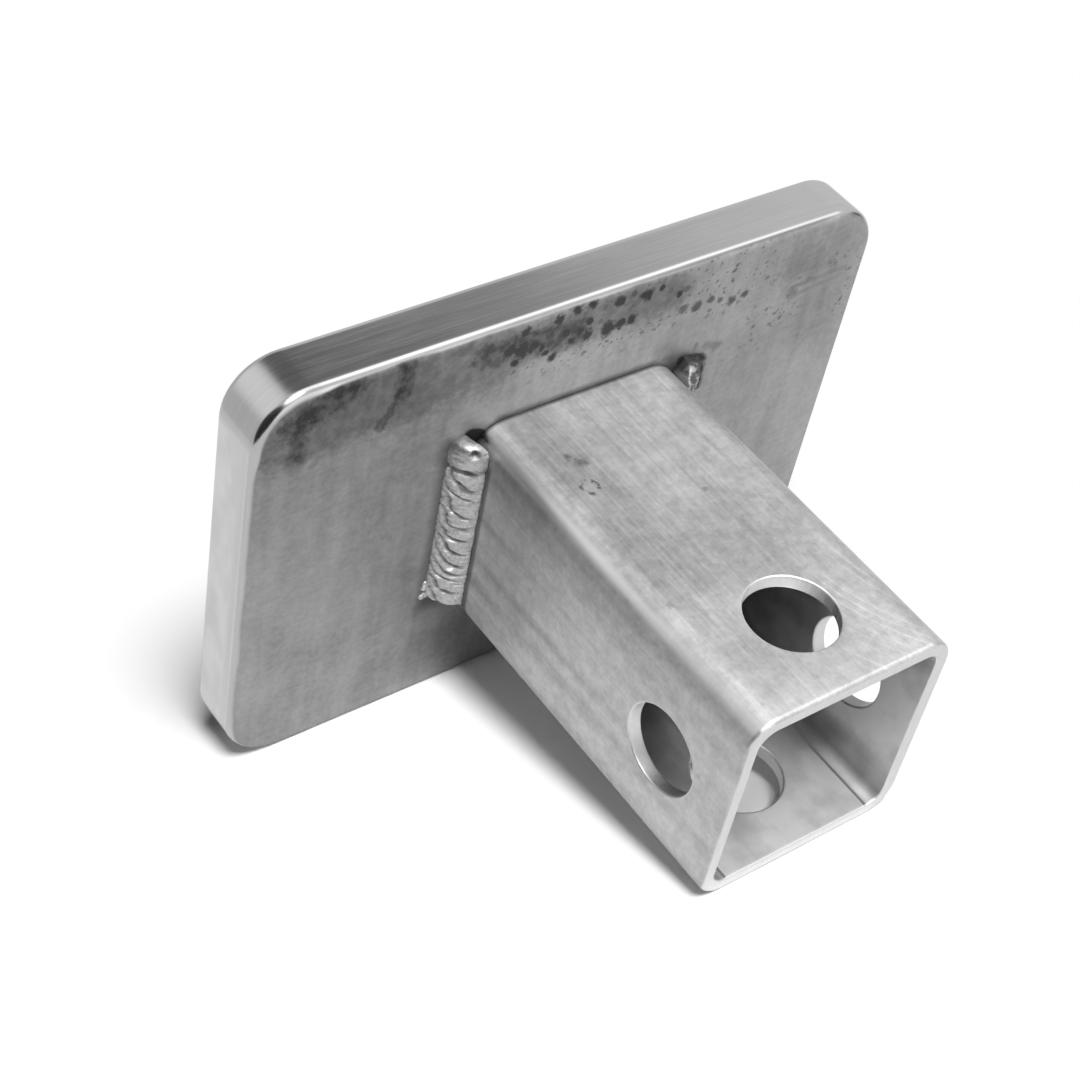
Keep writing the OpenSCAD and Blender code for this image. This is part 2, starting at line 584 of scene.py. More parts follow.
def dots_of(wires, place):
    """Small dried drops in two sizes, on a grid that noise has bent out of line."""
    x, _, z = wires.split(place)
    shift = wires.noise(place, 1.3, detail=2.0) * 1.6 - 0.8
    uneven = wires.vector("ADD", place, wires.join(shift, 0.0, shift * -0.7))
    dots = wires.group(pits, Place=uneven, Cell=2.5, Share=0.55, Size=0.30)["Mask"]
    fine_dots = wires.group(pits, Place=uneven, Cell=1.35, Share=0.8, Size=0.36)["Mask"]
    main_zone = wires.zone((z, *dots_above), (x, *dots_on_the_left_to), (x, *dots_on_the_right_to))
    drifts = wires.ramp(wires.noise(place, 0.11, detail=1.0), 0.34, 0.50)
    right_zone = (
        wires.ramp(z, *specks_above)
        * wires.ramp(z, *specks_below)
        * wires.ramp(x, *specks_from, 0.0, most_specks)
        * drifts
    )
    both_sizes = wires.most(dots, fine_dots) * dot_depth
    return both_sizes * wires.most(main_zone, right_zone)


def soot_and_shade_of(wires, place):
    """The dark band over and under the tube, which is painted shade in that corner at the joint, and the soot
    beside the beads' ends, with painted shade along their toes.
    """
    x, _, z = wires.split(place)
    wide = abs(x)
    tall = abs(z)
    above_tube = tall - tube_half / MM
    joint_line_and_shade = wires.zone((above_tube, 0.2, 1.8, 0.45, 0.0), (wide, 22.0, 19.0))
    beside_bead = wide - (tube_half + bead_leg) / MM
    bead_soot_and_shade = wires.zone((beside_bead, -0.4, 2.8, 1.0, 0.0), (tall, 22.0, 27.0, 0.55, 0.0))
    return wires.most(joint_line_and_shade, bead_soot_and_shade)


def mill_skin_of(wires, place, from_back):
    """1 on the dull skin of the back, and 0 from the uneven border of the polished rim on."""
    x, _, z = wires.split(place)
    past_x = abs(x) - (plate_half_w - plate_corner_r) / MM
    past_z = abs(z) - (plate_half_h - plate_corner_r) / MM
    past = wires.join(wires.most(past_x, 0.0), wires.most(past_z, 0.0), 0.0)
    to_outline = plate_corner_r / MM - wires.vector("LENGTH", past)
    ragged = wires.group(clouds, Place=place, Size=16.0, Seed=4.0)["Cloud"]
    corner_wear = wires.ramp(x + z, *worn_corner, 0.0, worn_further)
    border = 0.3 * ragged + 0.4 + corner_wear
    rim = wires.ramp(to_outline - border, -0.2, 0.5, 1.0, 0.0)
    on_back = wires.ramp(from_back, 0.7, 1.3, 1.0, 0.0)
    return on_back * (1 - rim)


# %% Plate material
mill_grey = 0.45
mill_roughness = 0.54
polish_grey = 0.88
polish_roughness = 0.15
# The grey of the dark marks, of stains and of painted shade alike.
stain_and_shade_grey = 0.045
stain_roughness = 0.62
dot_height = -0.05


def haze_and_shade_on_polish_of(wires, place, from_back):
    """How much less bright the polished faces are: a haze from handling and wear, stronger on the left, and
    painted shade that dims the rims' reflections.
    """
    x, _, z = wires.split(place)
    stretched = wires.vector("MULTIPLY", place, (0.5, 1.4, 1.0))
    haze = wires.group(clouds, Place=stretched, Size=11.0, Seed=21.0)["Cloud"]
    clouded = haze * wires.ramp(x, -20.0, 25.0, 0.05, 0.13)
    # Painted shade that dims the rims' reflections: beside the back rim on the left, on the left and right
    # rims, and at the top-left corner.
    beside_rim = wires.zone((from_back, 6.0, 3.0), (from_back, 1.6, 2.6))
    shade_beside_rim = beside_rim * wires.ramp(x, -15.0, 20.0, 0.0, 0.16)
    shade_on_left_rim = wires.zone((from_back, 2.3, 1.5), (x, 66.0, 71.0, 0.0, 0.24))
    shade_on_right_rim = wires.zone((from_back, 1.3, 0.7), (x, 8.0, -42.0, 0.0, 0.48), (x, -64.0, -59.0))
    corner = wires.zone((x, 58.0, 66.0, 0.0, 0.26), (z, 36.0, 40.0))
    return wires.most(clouded, shade_beside_rim, shade_on_left_rim, shade_on_right_rim, corner)


def build_plate_finish():
    material, wires, shader, place = new_metal("plate_aluminium")
    x, y, _ = wires.split(place)
    from_back = plate_back / MM - y
    on_front = wires.ramp(y, plate_front / MM, plate_front / MM + 0.6, 1.0, 0.0)
    mill = mill_skin_of(wires, place, from_back)

    upright = wires.group(streaks, Place=place, Stretch=(1.0, 1.0, 0.06), Seed=1.0)
    across = wires.group(streaks, Place=place, Stretch=(0.05, 1.0, 1.0), Seed=7.0)
    patches = wires.group(clouds, Place=place, Size=26.0, Seed=2.0)
    grain = wires.group(clouds, Place=place, Size=9.0, Seed=12.0)
    mill_tone = (
        mill_grey
        + wires.sway(upright["Bands"], 0.05)
        + wires.sway(across["Lines"], 0.03)
        + wires.sway(patches["Cloud"], 0.07)
        + wires.sway(patches["Mottle"], 0.06)
        + wires.sway(grain["Mottle"], 0.05)
        + wires.ramp(x, -18.0, -45.0, 0.0, 0.045)
    )

    polish = wires.group(streaks, Place=place, Stretch=(0.03, 1.3, 0.03), Seed=3.0)
    face_brush = wires.group(streaks, Place=place, Stretch=(0.03, 1.0, 1.4), Seed=9.0)
    lines = wires.blend(on_front, polish["Lines"], face_brush["Lines"])
    polish_after_haze_and_shade = 1 - haze_and_shade_on_polish_of(wires, place, from_back)
    polish_tone = (0.07 * lines + polish_grey) * polish_after_haze_and_shade

    torn = wires.ramp(wires.noise(place, 0.45, detail=3.0, roughness=0.62), 0.32, 0.62, 0.70, 1.0)
    # Besides dirt, these dark marks hold painted shade: the pocket by the left bead, a patch below it, the
    # band at the tube's joint and part of the soot by the beads.
    stroke_marks = stains_and_shade_of(wires, place, dark_strokes) * torn
    dotted = dots_of(wires, place)
    dirt_and_shade = wires.most(stains_and_shade_of(wires, place, blots_and_pocket_shade), stroke_marks, dotted, soot_and_shade_of(wires, place))
    dirt_and_shade = dirt_and_shade * mill

    tone = wires.blend(dirt_and_shade, wires.blend(mill, polish_tone, mill_tone), stain_and_shade_grey)
    polish_rough = 0.07 * lines + polish_roughness
    mill_rough = 0.10 * patches["Mottle"] + mill_roughness
    rough = wires.blend(dirt_and_shade, wires.blend(mill, polish_rough, mill_rough), stain_roughness)
    set_finish(wires, shader, tone, rough, dotted * mill * dot_height)
    return material


plate_aluminium = build_plate_finish()


# %% [markdown]
# ## The cover plate
# The plate's rim is a quarter circle all round, back and front. The rings run
# from the middle of the back face, over the rim, across the edge and to the
# middle of the front face. An extra ring just inside each rim keeps the flat
# faces flat in the shading. Hand polishing leaves the edge faces not quite
# true, so the rings there wander inwards by less than a tenth of a millimetre.

# %% Plate mesh
flat_insets = [9 * MM, 5 * MM, plate_rim_r + 0.25 * MM]
least_corner_r = 3 * MM
rim_steps = 8
edge_steps = 8
plate_arc_steps = 14


def plate_profile():
    """(inset, y) of each ring, from the back face to the front face."""
    def rim(turn):
        swing = math.radians(turn)
        return plate_rim_r * (1 - math.sin(swing)), plate_rim_r * (1 - math.cos(swing))

    back = [(inset, plate_back) for inset in flat_insets]
    for k in range(rim_steps + 1):
        inset, drop = rim(90 * k / rim_steps)
        back.append((inset, plate_back - drop))
    front = [(inset, plate_front + plate_back - y) for inset, y in reversed(back)]
    low = plate_front + plate_rim_r
    high = plate_back - plate_rim_r
    edge = [(0.0, high + (low - high) * k / edge_steps) for k in range(1, edge_steps)]
    return back + edge + front


def build_plate():
    bm = bmesh.new()
    rings = []
    for inset, y in plate_profile():
        radius = max(plate_corner_r - inset, least_corner_r)
        half_w = plate_half_w - inset
        half_h = plate_half_h - inset
        across = side_steps(half_w - radius)
        up = side_steps(half_h - radius)
        outline = rounded_outline(half_w, half_h, radius, across, up, plate_arc_steps)
        ring = add_ring(bm, outline, y)
        if inset < plate_rim_r:
            let_wander(ring, 1 - inset / plate_rim_r)
        rings.append(ring)
    for first, second in zip(rings, rings[1:]):
        join_rings(bm, first, second)
    bm.faces.new(rings[0])
    bm.faces.new(list(reversed(rings[-1])))
    finish_piece(bm, "cover_plate_finished", plate_aluminium, ["cover_plate"])


def let_wander(ring, share):
    """Moves an edge ring inwards a little, by a smooth noise along it."""
    wander = 0.08 * MM
    wave = 22 * MM
    core_w = plate_half_w - plate_corner_r
    core_h = plate_half_h - plate_corner_r
    for vert in ring:
        core = Vector((max(-core_w, min(core_w, vert.co.x)), vert.co.y, max(-core_h, min(core_h, vert.co.z))))
        inward = (core - vert.co).normalized()
        depth = 0.5 + 0.5 * noise.noise(vert.co / wave)
        vert.co += inward * wander * share * max(0.0, min(1.0, depth))


build_plate()


# %% [markdown]
# ## The tube's finish
# The tube is an extrusion, so it carries streaks along its length. Handling and
# a light sanding left soft lighter and darker clouds, curved scratches near the
# mouth and a few stains. The rounds along the tube are burnished and carry a
# painted highlight, brightest near the plate, and painted shade lies in a band
# under the upper rounds there. The sawn mouth and the drilled bores are fresh cuts
# and the brightest metal on the part, with painted shade in the lower half of the
# side bores. Inside, the tube is smudged, with a dark line along each lower
# corner; it gets painted light near the mouth and painted shade deeper in, on the
# side walls near the floor and the top, and in the corners. A pocket of painted
# shade sits by the left bead's top. Where each finish lies is worked out from the
# point's distance to the tube's own axes and walls, so it fits every hole without
# a texture map.

# %% Areas of the tube
# A pair of places says where a mark begins and where it is full, in millimetres.
inner_half = (tube_half - tube_wall) / MM
flat_half = tube_flat_half / MM
tube_top = tube_half / MM
lowest_wall = (-24.0, -22.0)
lowest_bore_share = 0.45


def tube_areas(wires, place):
    """Masks of the tube's inner side, its bores, and its bores and sawn mouth together."""
    x, y, z = wires.split(place)
    from_axis = wires.most(abs(x), abs(z))
    inside = wires.ramp(from_axis, inner_half + 0.2, inner_half + 0.6, 1.0, 0.0)
    upright_hole = wires.vector("LENGTH", wires.join(x, y, 0.0))
    level_hole = wires.vector("LENGTH", wires.join(0.0, y, z))
    nearest = wires.math("MINIMUM", upright_hole, level_hole)
    in_hole = wires.ramp(nearest, pin_r / MM + 0.1, pin_r / MM + 0.5, 1.0, 0.0)
    in_wall = wires.larger(from_axis, inner_half - 0.4)
    bore = in_hole * in_wall * wires.ramp(z, *lowest_wall, lowest_bore_share, 1.0)
    by_mouth = wires.ramp(y, tube_mouth / MM - 0.5, tube_mouth / MM - 0.2)
    in_lips = wires.ramp(from_axis, tube_top - 0.4, tube_top - 0.9)
    return inside, bore, wires.most(bore, by_mouth * in_lips)


# %% Marks on the tube
tube_spots_and_pocket_shade = [
    ((11.7, -51.0, tube_top), 1.2, 0.60),
    ((13.6, -53.4, tube_top), 0.8, 0.62),
    ((19.8, -12.5, tube_top), 0.8, 0.35),
    ((-6.0, -34.0, tube_top), 0.5, 0.40),
    # Painted shade in the pocket at the tube's corner beside the left bead's top.
    ((24.6, -68.3, 23.4), 1.7, 1.0),
]
ring_spot_centre = (14.5, -44.6, tube_top)
ring_spot_r = 1.8
sanding_centre = (-56.0, -12.0, tube_top)


def sanding_of(wires, place, patches):
    """Arcs of light sanding on the top, between the pin hole and the tube's right edge."""
    x, y, z = wires.split(place)
    radius = wires.vector("DISTANCE", place, sanding_centre)
    arcs = wires.noise(wires.join(radius, 0.0, 0.0), 0.6, detail=3.0, roughness=0.6)
    zone = wires.zone((y, -14.0, -2.0), (z, 24.8, 25.2), (x, -1.0, -7.0, 0.25, 1.0))
    return wires.ramp(arcs, 0.5, 0.66) * zone * (0.6 * patches["Cloud"] + 0.4)


def dark_marks_of(wires, place, inside, fine, pores):
    """Spots, a broken ring and pores, a pocket of painted shade by the left bead's top, soot along the beads'
    toes with painted shade in that crease, and a dark joint line at the plate with painted shade in that
    corner.
    """
    x, y, z = wires.split(place)
    spots = [
        wires.group(
            stain_and_shade_mark, Place=place, From=centre, To=centre, Radius=radius, Softness=0.7, Wobble=0.8, Depth=depth
        )["Mask"]
        for centre, radius, depth in tube_spots_and_pocket_shade
    ]
    from_ring = abs(wires.vector("DISTANCE", place, ring_spot_centre) - ring_spot_r)
    ring = wires.zone((from_ring, 0.1, 0.8, 0.8, 0.0), (fine["Mottle"], 0.40, 0.60))
    # Soot along each bead's toe on the tube, and painted shade in the crease there.
    from_toe = abs(y - (plate_back + bead_leg) / MM)
    on_side = wires.larger(abs(x), abs(z))
    toe_soot_and_shade = wires.ramp(from_toe, 0.5, 1.5, 0.75, 0.0) * on_side * wires.ramp(z, 21.5, 19.0)
    # A dark joint line at the plate, and painted shade in the corner between tube and plate.
    joint = wires.ramp(y, tube_low.y / MM + 0.5, tube_low.y / MM + 1.1, 0.6, 0.0)
    joint_line_and_shade = joint * (1 - inside)
    return wires.most(*spots, ring, pores * 0.16, toe_soot_and_shade, joint_line_and_shade)


# %% Tones of the tube
burnish_and_highlight_grey = 0.98
mark_and_shade_grey = 0.12
seam_grey = 0.08
cut_grey = 0.92
inner_grey = 0.65


def outer_tone_of(wires, place, drawn, patches, fine, sanded):
    """The tube's skin before its edges are added: streaks, clouds and sanding, lighter towards the mouth and
    towards the right, and painted shade in a band under the upper rounds near the plate.
    """
    x, y, z = wires.split(place)
    wide_bands = wires.group(streaks, Place=place, Stretch=(0.7, 0.03, 0.7), Seed=11.0)
    banded = (
        (wide_bands["Bands"] - 0.5)
        * wires.ramp(z, 24.0, 25.0, 0.18, 0.08)
        * wires.ramp(y, 10.0, -35.0, 0.45, 1.0)
    )
    skin = (
        wires.ramp(y, -20.0, 17.0, 0.60, 0.72)
        + wires.sway(drawn["Lines"], 0.06)
        + banded
        + wires.sway(patches["Cloud"], 0.10)
        + wires.sway(patches["Mottle"], 0.10)
        + wires.sway(fine["Mottle"], 0.07)
        + sanded * 0.24
    )
    # Painted shade in a band on the sides, under the upper rounds, near the plate.
    shade_under_edge = wires.zone((z, 13.0, 20.0), (z, 23.5, 21.0), (y, -15.0, -50.0))
    return skin * (1 - 0.14 * shade_under_edge) * wires.ramp(x, 4.0, -14.0, 1.0, 1.16)


def edge_burnish_and_highlight_of(wires, place, inside):
    """The rounds along the tube: burnished, and with a painted highlight, brightest near the plate and on the
    left.
    """
    x, y, z = wires.split(place)
    into_corner = wires.math("MINIMUM", abs(x), abs(z))
    return (
        wires.ramp(into_corner, flat_half + 3.4, flat_half + 4.7)
        * (1 - inside)
        * wires.ramp(y, 2.0, -45.0, 0.5, 1.0)
        * wires.ramp(x, -5.0, 5.0, 0.3, 1.0)
    )


def inner_tone_of(wires, place, skin_tone):
    """The tube's inner side: smudged, with painted light near the mouth and painted shade deeper in, on the
    side walls near the floor and the top, and in the corners.
    """
    x, y, z = wires.split(place)
    wide = abs(x)
    tall = abs(z)
    smudges = wires.group(clouds, Place=place, Size=13.0, Seed=17.0)["Cloud"]
    # Painted light and shade: lighter near the mouth, darker deeper in towards the plate.
    deep = wires.ramp(y, -34.0, 14.0, 0.80, 1.34)
    # Painted shade on the side walls near the floor and the top, and in the rounded corners.
    shade_on_side_walls = wires.ramp(tall, 12.0, 17.0, 0.0, 0.30) * wires.larger(wide, tall)
    into_corner = wires.math("MINIMUM", wide, tall)
    shade_in_inner_corner = wires.ramp(into_corner, flat_half - 0.2, flat_half + 0.6, 0.0, 0.28)
    return (
        wires.blend(0.35, inner_grey, skin_tone)
        * (0.34 * smudges + 0.82)
        * deep
        * (1 - wires.most(shade_on_side_walls, shade_in_inner_corner))
    )


def seam_of(wires, place, inside):
    """The dark line inside the tube, along each lower corner, from the mouth inwards."""
    x, y, z = wires.split(place)
    from_seam = abs(abs(x) - flat_half)
    dark = wires.ramp(from_seam, 0.10, 0.50, 0.70, 0.0)
    return dark * inside * wires.ramp(z, -18.0, -20.0) * wires.ramp(y, -3.0, 7.0)


def cut_tone_of(wires, place, bore, saw):
    """Fresh cuts, with painted shade in the lower half of the side bores."""
    x, _, z = wires.split(place)
    side_bore = bore * wires.larger(abs(x), abs(z))
    # Painted shade in the lower half of each side bore.
    shade_low_in_bore = side_bore * wires.ramp(z, -3.0, -8.0, 0.0, 0.38)
    return (0.08 * saw["Lines"] + cut_grey) * (1 - shade_low_in_bore)


# %% Tube material
skin_roughness = 0.44
cut_roughness = 0.32


def build_tube_finish():
    material, wires, shader, place = new_metal("tube_aluminium")
    inside, bore, cut = tube_areas(wires, place)
    drawn = wires.group(streaks, Place=place, Stretch=(1.0, 0.025, 1.0), Seed=5.0)
    saw = wires.group(streaks, Place=place, Stretch=(1.4, 1.0, 0.15), Seed=13.0)
    patches = wires.group(clouds, Place=place, Size=24.0, Seed=6.0)
    fine = wires.group(clouds, Place=place, Size=8.0, Seed=8.0)
    pores = wires.group(pits, Place=place, Cell=6.0, Share=0.3, Size=0.12)["Mask"]
    sanded = sanding_of(wires, place, patches)
    edge_burnish_and_highlight = edge_burnish_and_highlight_of(wires, place, inside)

    outer_tone = outer_tone_of(wires, place, drawn, patches, fine, sanded)
    # Burnished rounds, with a painted highlight on them.
    skin_tone = wires.blend(edge_burnish_and_highlight, outer_tone, 0.06 * drawn["Lines"] + burnish_and_highlight_grey)
    tone = wires.blend(inside, skin_tone, inner_tone_of(wires, place, skin_tone))
    tone = wires.blend(seam_of(wires, place, inside), tone, seam_grey)
    tone = wires.blend(dark_marks_of(wires, place, inside, fine, pores), tone, mark_and_shade_grey)
    tone = wires.blend(cut, tone, cut_tone_of(wires, place, bore, saw))

    skin_rough = (
        skin_roughness
        + drawn["Lines"] * 0.06
        + patches["Cloud"] * 0.06
        + sanded * 0.10
        - edge_burnish_and_highlight * 0.17
    )
    cut_rough = cut_roughness + saw["Lines"] * 0.10 + bore * 0.12
    height = drawn["Lines"] * 0.004 + saw["Lines"] * cut * 0.010 - pores * 0.006
    set_finish(wires, shader, tone, wires.blend(cut, skin_rough, cut_rough), height)
    return material


tube_aluminium = build_tube_finish()


# %% [markdown]
# ## The tube
# A square tube with four pin holes could be a solid cut by Booleans, but those
# leave long thin faces round the holes that shade badly. Here each wall is a
# grid with a square gap, and the gap is filled by rings that turn from that
# square into the hole's circle. The same rings go through the wall as the bore,
# with a small round at each lip, and come out inside. Both rims of the tube get
# such a round too: at the mouth it is the deburred cut, and at the plate it
# leaves the thin dark joint line that the real one shows.

# %% Sizes of the tube's grid
lip_r = 0.4 * MM
mouth_lip_r = 0.9 * MM
lip_steps = 5
panel_half = 12.8 * MM
panel_cells = 16
panel_places = [panel_half * (2 * k / panel_cells - 1) for k in range(panel_cells + 1)]
tube_arc_steps = 12
tube_steps = side_steps(tube_flat_half, panel_places + [-16 * MM, 16 * MM])
panel_blends = [0.30, 0.58, 0.80, 0.94]
print("points round the tube:", 4 * (len(tube_steps) + tube_arc_steps - 1))


# %% Tube skins
def tube_rows(end_lip):
    """Places along the tube for the rows of one skin, which ends where the rims begin."""
    start = tube_low.y + lip_r
    end = tube_mouth - end_lip
    plain_rows = 22
    rows = {start, end, start + 0.3 * MM, end - 0.3 * MM}
    rows.update(start + (-panel_half - start) * k / plain_rows for k in range(1, plain_rows))
    rows.update(panel_places)
    rows.add((panel_half + end) / 2)
    return sorted(rows)


def tube_outline(depth):
    """The tube's outline at a depth below its outer face."""
    half = tube_half - depth
    radius = tube_corner_r - depth
    return rounded_outline(half, half, radius, tube_steps, tube_steps, tube_arc_steps)


def on_panel(first, second, y_first, y_second):
    """Whether a cell of a skin belongs to a hole's panel, and not to the plain grid."""
    tiny = 0.001 * MM
    along = -panel_half - tiny < y_first and y_second < panel_half + tiny
    return along and any(
        abs(first[k]) < panel_half + tiny
        and abs(second[k]) < panel_half + tiny
        and abs(first[1 - k] - second[1 - k]) < tiny
        and abs(first[1 - k]) > panel_half
        for k in (0, 1)
    )


def add_skin(bm, depth, end_lip):
    """One skin of the tube, with a square gap where each hole's panel goes."""
    outline = tube_outline(depth)
    rows = tube_rows(end_lip)
    rings = [add_ring(bm, outline, y) for y in rows]
    for r in range(len(rows) - 1):
        for i in range(len(outline)):
            j = (i + 1) % len(outline)
            if not on_panel(outline[i], outline[j], rows[r], rows[r + 1]):
                bm.faces.new((rings[r][i], rings[r][j], rings[r + 1][j], rings[r + 1][i]))


def lip_section(radius):
    """(depth, back) of the points of a small round, from a skin to the end face."""
    swings = [math.radians(90 * k / lip_steps) for k in range(lip_steps + 1)]
    return [(radius * (1 - math.cos(swing)), radius * (1 - math.sin(swing))) for swing in swings]


def add_rim(bm, y_end, inwards, outer_lip):
    """The tube's end face, with a small round on its outer and inner edge."""
    middle = [(tube_wall * share, 0.0) for share in (0.36, 0.5, 0.75)]
    inner = [(tube_wall - depth, back) for depth, back in reversed(lip_section(lip_r))]
    across = lip_section(outer_lip) + middle + inner
    rings = [add_ring(bm, tube_outline(depth), y_end + inwards * back) for depth, back in across]
    for first, second in zip(rings, rings[1:]):
        join_rings(bm, first, second)


# %% Pin holes
def panel_square():
    """Points (s, y) once round the gap in a wall, in the grid's own steps."""
    up = [(panel_half, t) for t in panel_places[:-1]]
    back = [(-t, panel_half) for t in panel_places[:-1]]
    down = [(-panel_half, -t) for t in panel_places[:-1]]
    on = [(t, -panel_half) for t in panel_places[:-1]]
    return up + back + down + on


def hole_rings(depth, bore_side):
    """Rings from the square to the lip of the hole, on the skin at this depth."""
    square = panel_square()
    lip_circle = pin_r + lip_r
    rings = [[(s, y, depth) for s, y in square]]
    for share in panel_blends + [1.0]:
        ring = []
        for s, y in square:
            away = math.hypot(s, y)
            goal = (s * lip_circle / away, y * lip_circle / away)
            ring.append((s + (goal[0] - s) * share, y + (goal[1] - y) * share, depth))
        rings.append(ring)
    for k in range(1, lip_steps + 1):
        swing = math.radians(90 * k / lip_steps)
        radius = lip_circle - lip_r * math.sin(swing)
        drop = lip_r * (1 - math.cos(swing))
        rings.append([
            (s * radius / math.hypot(s, y), y * radius / math.hypot(s, y), depth + bore_side * drop)
            for s, y in square
        ])
    return rings


def add_hole(bm, side):
    """One pin hole through the wall on the given side: 0 is +X, then +Z, -X and -Z."""
    turn = Matrix.Rotation(-side * math.pi / 2, 3, "Y")
    outer = hole_rings(0.0, 1)
    inner = hole_rings(tube_wall, -1)
    bore_steps = 5
    start = outer[-1][0][2]
    step = (inner[-1][0][2] - start) / bore_steps
    bore = [[(s, y, start + step * k) for s, y, _ in outer[-1]] for k in range(1, bore_steps)]
    rings = [
        [bm.verts.new(turn @ Vector((tube_half - depth, y, s))) for s, y, depth in ring]
        for ring in outer + bore + list(reversed(inner))
    ]
    for first, second in zip(rings, rings[1:]):
        join_rings(bm, first, second)


# %% Put the tube together
def build_tube():
    bm = bmesh.new()
    add_skin(bm, 0.0, mouth_lip_r)
    add_skin(bm, tube_wall, lip_r)
    add_rim(bm, tube_mouth, -1, mouth_lip_r)
    add_rim(bm, tube_low.y, 1, lip_r)
    for side in range(4):
        add_hole(bm, side)
    finish_piece(bm, "shank_tube_finished", tube_aluminium, ["shank_tube"])


build_tube()


# %% [markdown]
# ## The weld's finish
# Fresh weld metal is bright on the crown of each ripple and sooty in the crease
# between two, and the crease, the dimple and the neck also get painted shade.
# The geometry below works out how deep in a crease a point lies and stores it as
# an attribute, which the material then reads. The far bead gets soot and painted
# shade, above all next to the plate, and the top of each bead gets painted shade
# that dims its highlight.

# %% Weld material
weld_grey = 0.58
weld_soot_and_shade_grey = 0.10
weld_roughness = 0.46
weld_top_shade = 0.70


def build_weld_finish():
    material, wires, shader, place = new_metal("weld_metal")
    x, y, z = wires.split(place)
    crease = wires.numbers(wires.node("ShaderNodeAttribute", attribute_name="crease"))["Fac"]
    patches = wires.group(clouds, Place=place, Size=5.0, Seed=3.0)
    pores = wires.group(pits, Place=place, Cell=1.6, Share=0.35, Size=0.14)["Mask"]
    torn = wires.ramp(wires.noise(place, 0.8, detail=2.0), 0.46, 0.60, 0.80, 0.15)
    # Soot in patches on the upper part of the far bead, and painted shade where it meets the plate.
    by_plate = wires.ramp(y, plate_back / MM + 3.6, plate_back / MM + 2.2, 0.0, 0.92)
    on_far_top = wires.zone((x, -25.0, -26.0), (z, 9.0, 14.0))
    far_soot_and_shade = wires.most(torn, by_plate) * on_far_top
    # Soot and painted shade in the creases, the dimple and the neck, with the pores and the far bead's marks.
    soot_and_shade = wires.most(crease * 0.66, pores * 0.7, far_soot_and_shade)
    tone = wires.blend(soot_and_shade, 0.18 * patches["Mottle"] + weld_grey, weld_soot_and_shade_grey)
    # Painted shade on the top of each bead, which dims the lamp's highlight there.
    tone = tone * wires.ramp(z, 20.5, 24.5, 1.0, weld_top_shade)
    rough = weld_roughness + patches["Cloud"] * 0.12 + soot_and_shade * 0.2
    height = patches["Mottle"] * 0.03 - pores * 0.06
    set_finish(wires, shader, tone, rough, height)
    return material


weld_metal = build_weld_finish()


# %% [markdown]
# ## The weld beads
# A welder moved up each side of the tube, and every pause left a ripple that
# froze as a crescent, bulging back down the way the torch came. At the top the
# last pool froze as a rounded lump with a dimple, set off by a neck. The shape
# follows a rule along a path, so it suits Geometry Nodes: a grid is rolled into
# the corner between plate and tube, and ripples, lumps, dimple and neck change
# its radius. At the top the section also moves out of the corner and opens
# wider, because an end that only shrinks towards the corner looks like a cone.

# %% Geometry tree of a bead
bead_inputs = {
    "Leg": bead_leg,
    "Length": bead_len - 2.0 * MM,
    "Pitch": 3.3 * MM,
    "Depth": 0.13,
    "Sag": 2.2 * MM,
    "Nose": 1.0 * MM,
    "Crater": 6.5 * MM,
    "Lift": 1.2 * MM,
    "Seed": 0.0,
    "Side": 1.0,
}
bead_columns = 420
bead_rows = 60
crown_share = 0.82
quarter = math.pi / 2


def new_geometry_tree(name, inputs):
    """A geometry tree with number inputs, a Material input and one output."""
    tree = bpy.data.node_groups.new(name, "GeometryNodeTree")
    for key, value in inputs.items():
        socket = tree.interface.new_socket(key, in_out="INPUT", socket_type="NodeSocketFloat")
        socket.default_value = value
    tree.interface.new_socket("Material", in_out="INPUT", socket_type="NodeSocketMaterial")
    tree.interface.new_socket("Geometry", in_out="OUTPUT", socket_type="NodeSocketGeometry")
    wires = Wires(tree)
    entry = wires.numbers(wires.node("NodeGroupInput"))
    leave = wires.node("NodeGroupOutput").inputs
    return wires, entry, leave


def finish_tree(wires, entry, leave, geometry):
    """Ends a geometry tree: real meshes with the given material."""
    real = wires.node("GeometryNodeRealizeInstances", {"Geometry": geometry})
    dressed = wires.node(
        "GeometryNodeSetMaterial", {"Geometry": real.outputs["Geometry"], "Material": entry["Material"]}
    )
    wires.put(leave["Geometry"], dressed.outputs["Geometry"])
    return wires.tree


def ripples_of(wires, entry, travel, across, in_crater):
    """The change of radius by the ripples, and how deep in a crease each point lies."""
    seed_place = wires.join(travel / MM, across, entry["Seed"])
    drift = wires.noise(seed_place, 0.22, detail=2.0) - 0.5
    lumps = wires.noise(seed_place, 0.75, detail=3.0) - 0.5
    off_centre = across - 0.5
    sag = 1 - off_centre * off_centre
    late = travel - sag * entry["Sag"] + drift * (8.0 * MM)
    phase = wires.math("FRACT", late / entry["Pitch"])
    skewed = wires.math("POWER", phase, 1.35)
    dome = wires.math("POWER", wires.math("SINE", skewed * math.pi), 0.55)
    bulge = 1 - across * across
    fade_toes = (0.8 * bulge + 0.2) * wires.ramp(across, 0.9, 0.35, 0.45, 1.0)
    valley = wires.blend(in_crater, dome - 1.0, 0.0)
    change = valley * entry["Depth"] * fade_toes + lumps * 0.30
    crease = wires.ramp(dome, 0.35, 0.8, 1.0, 0.0) * (1 - in_crater) * fade_toes
    return change, crease


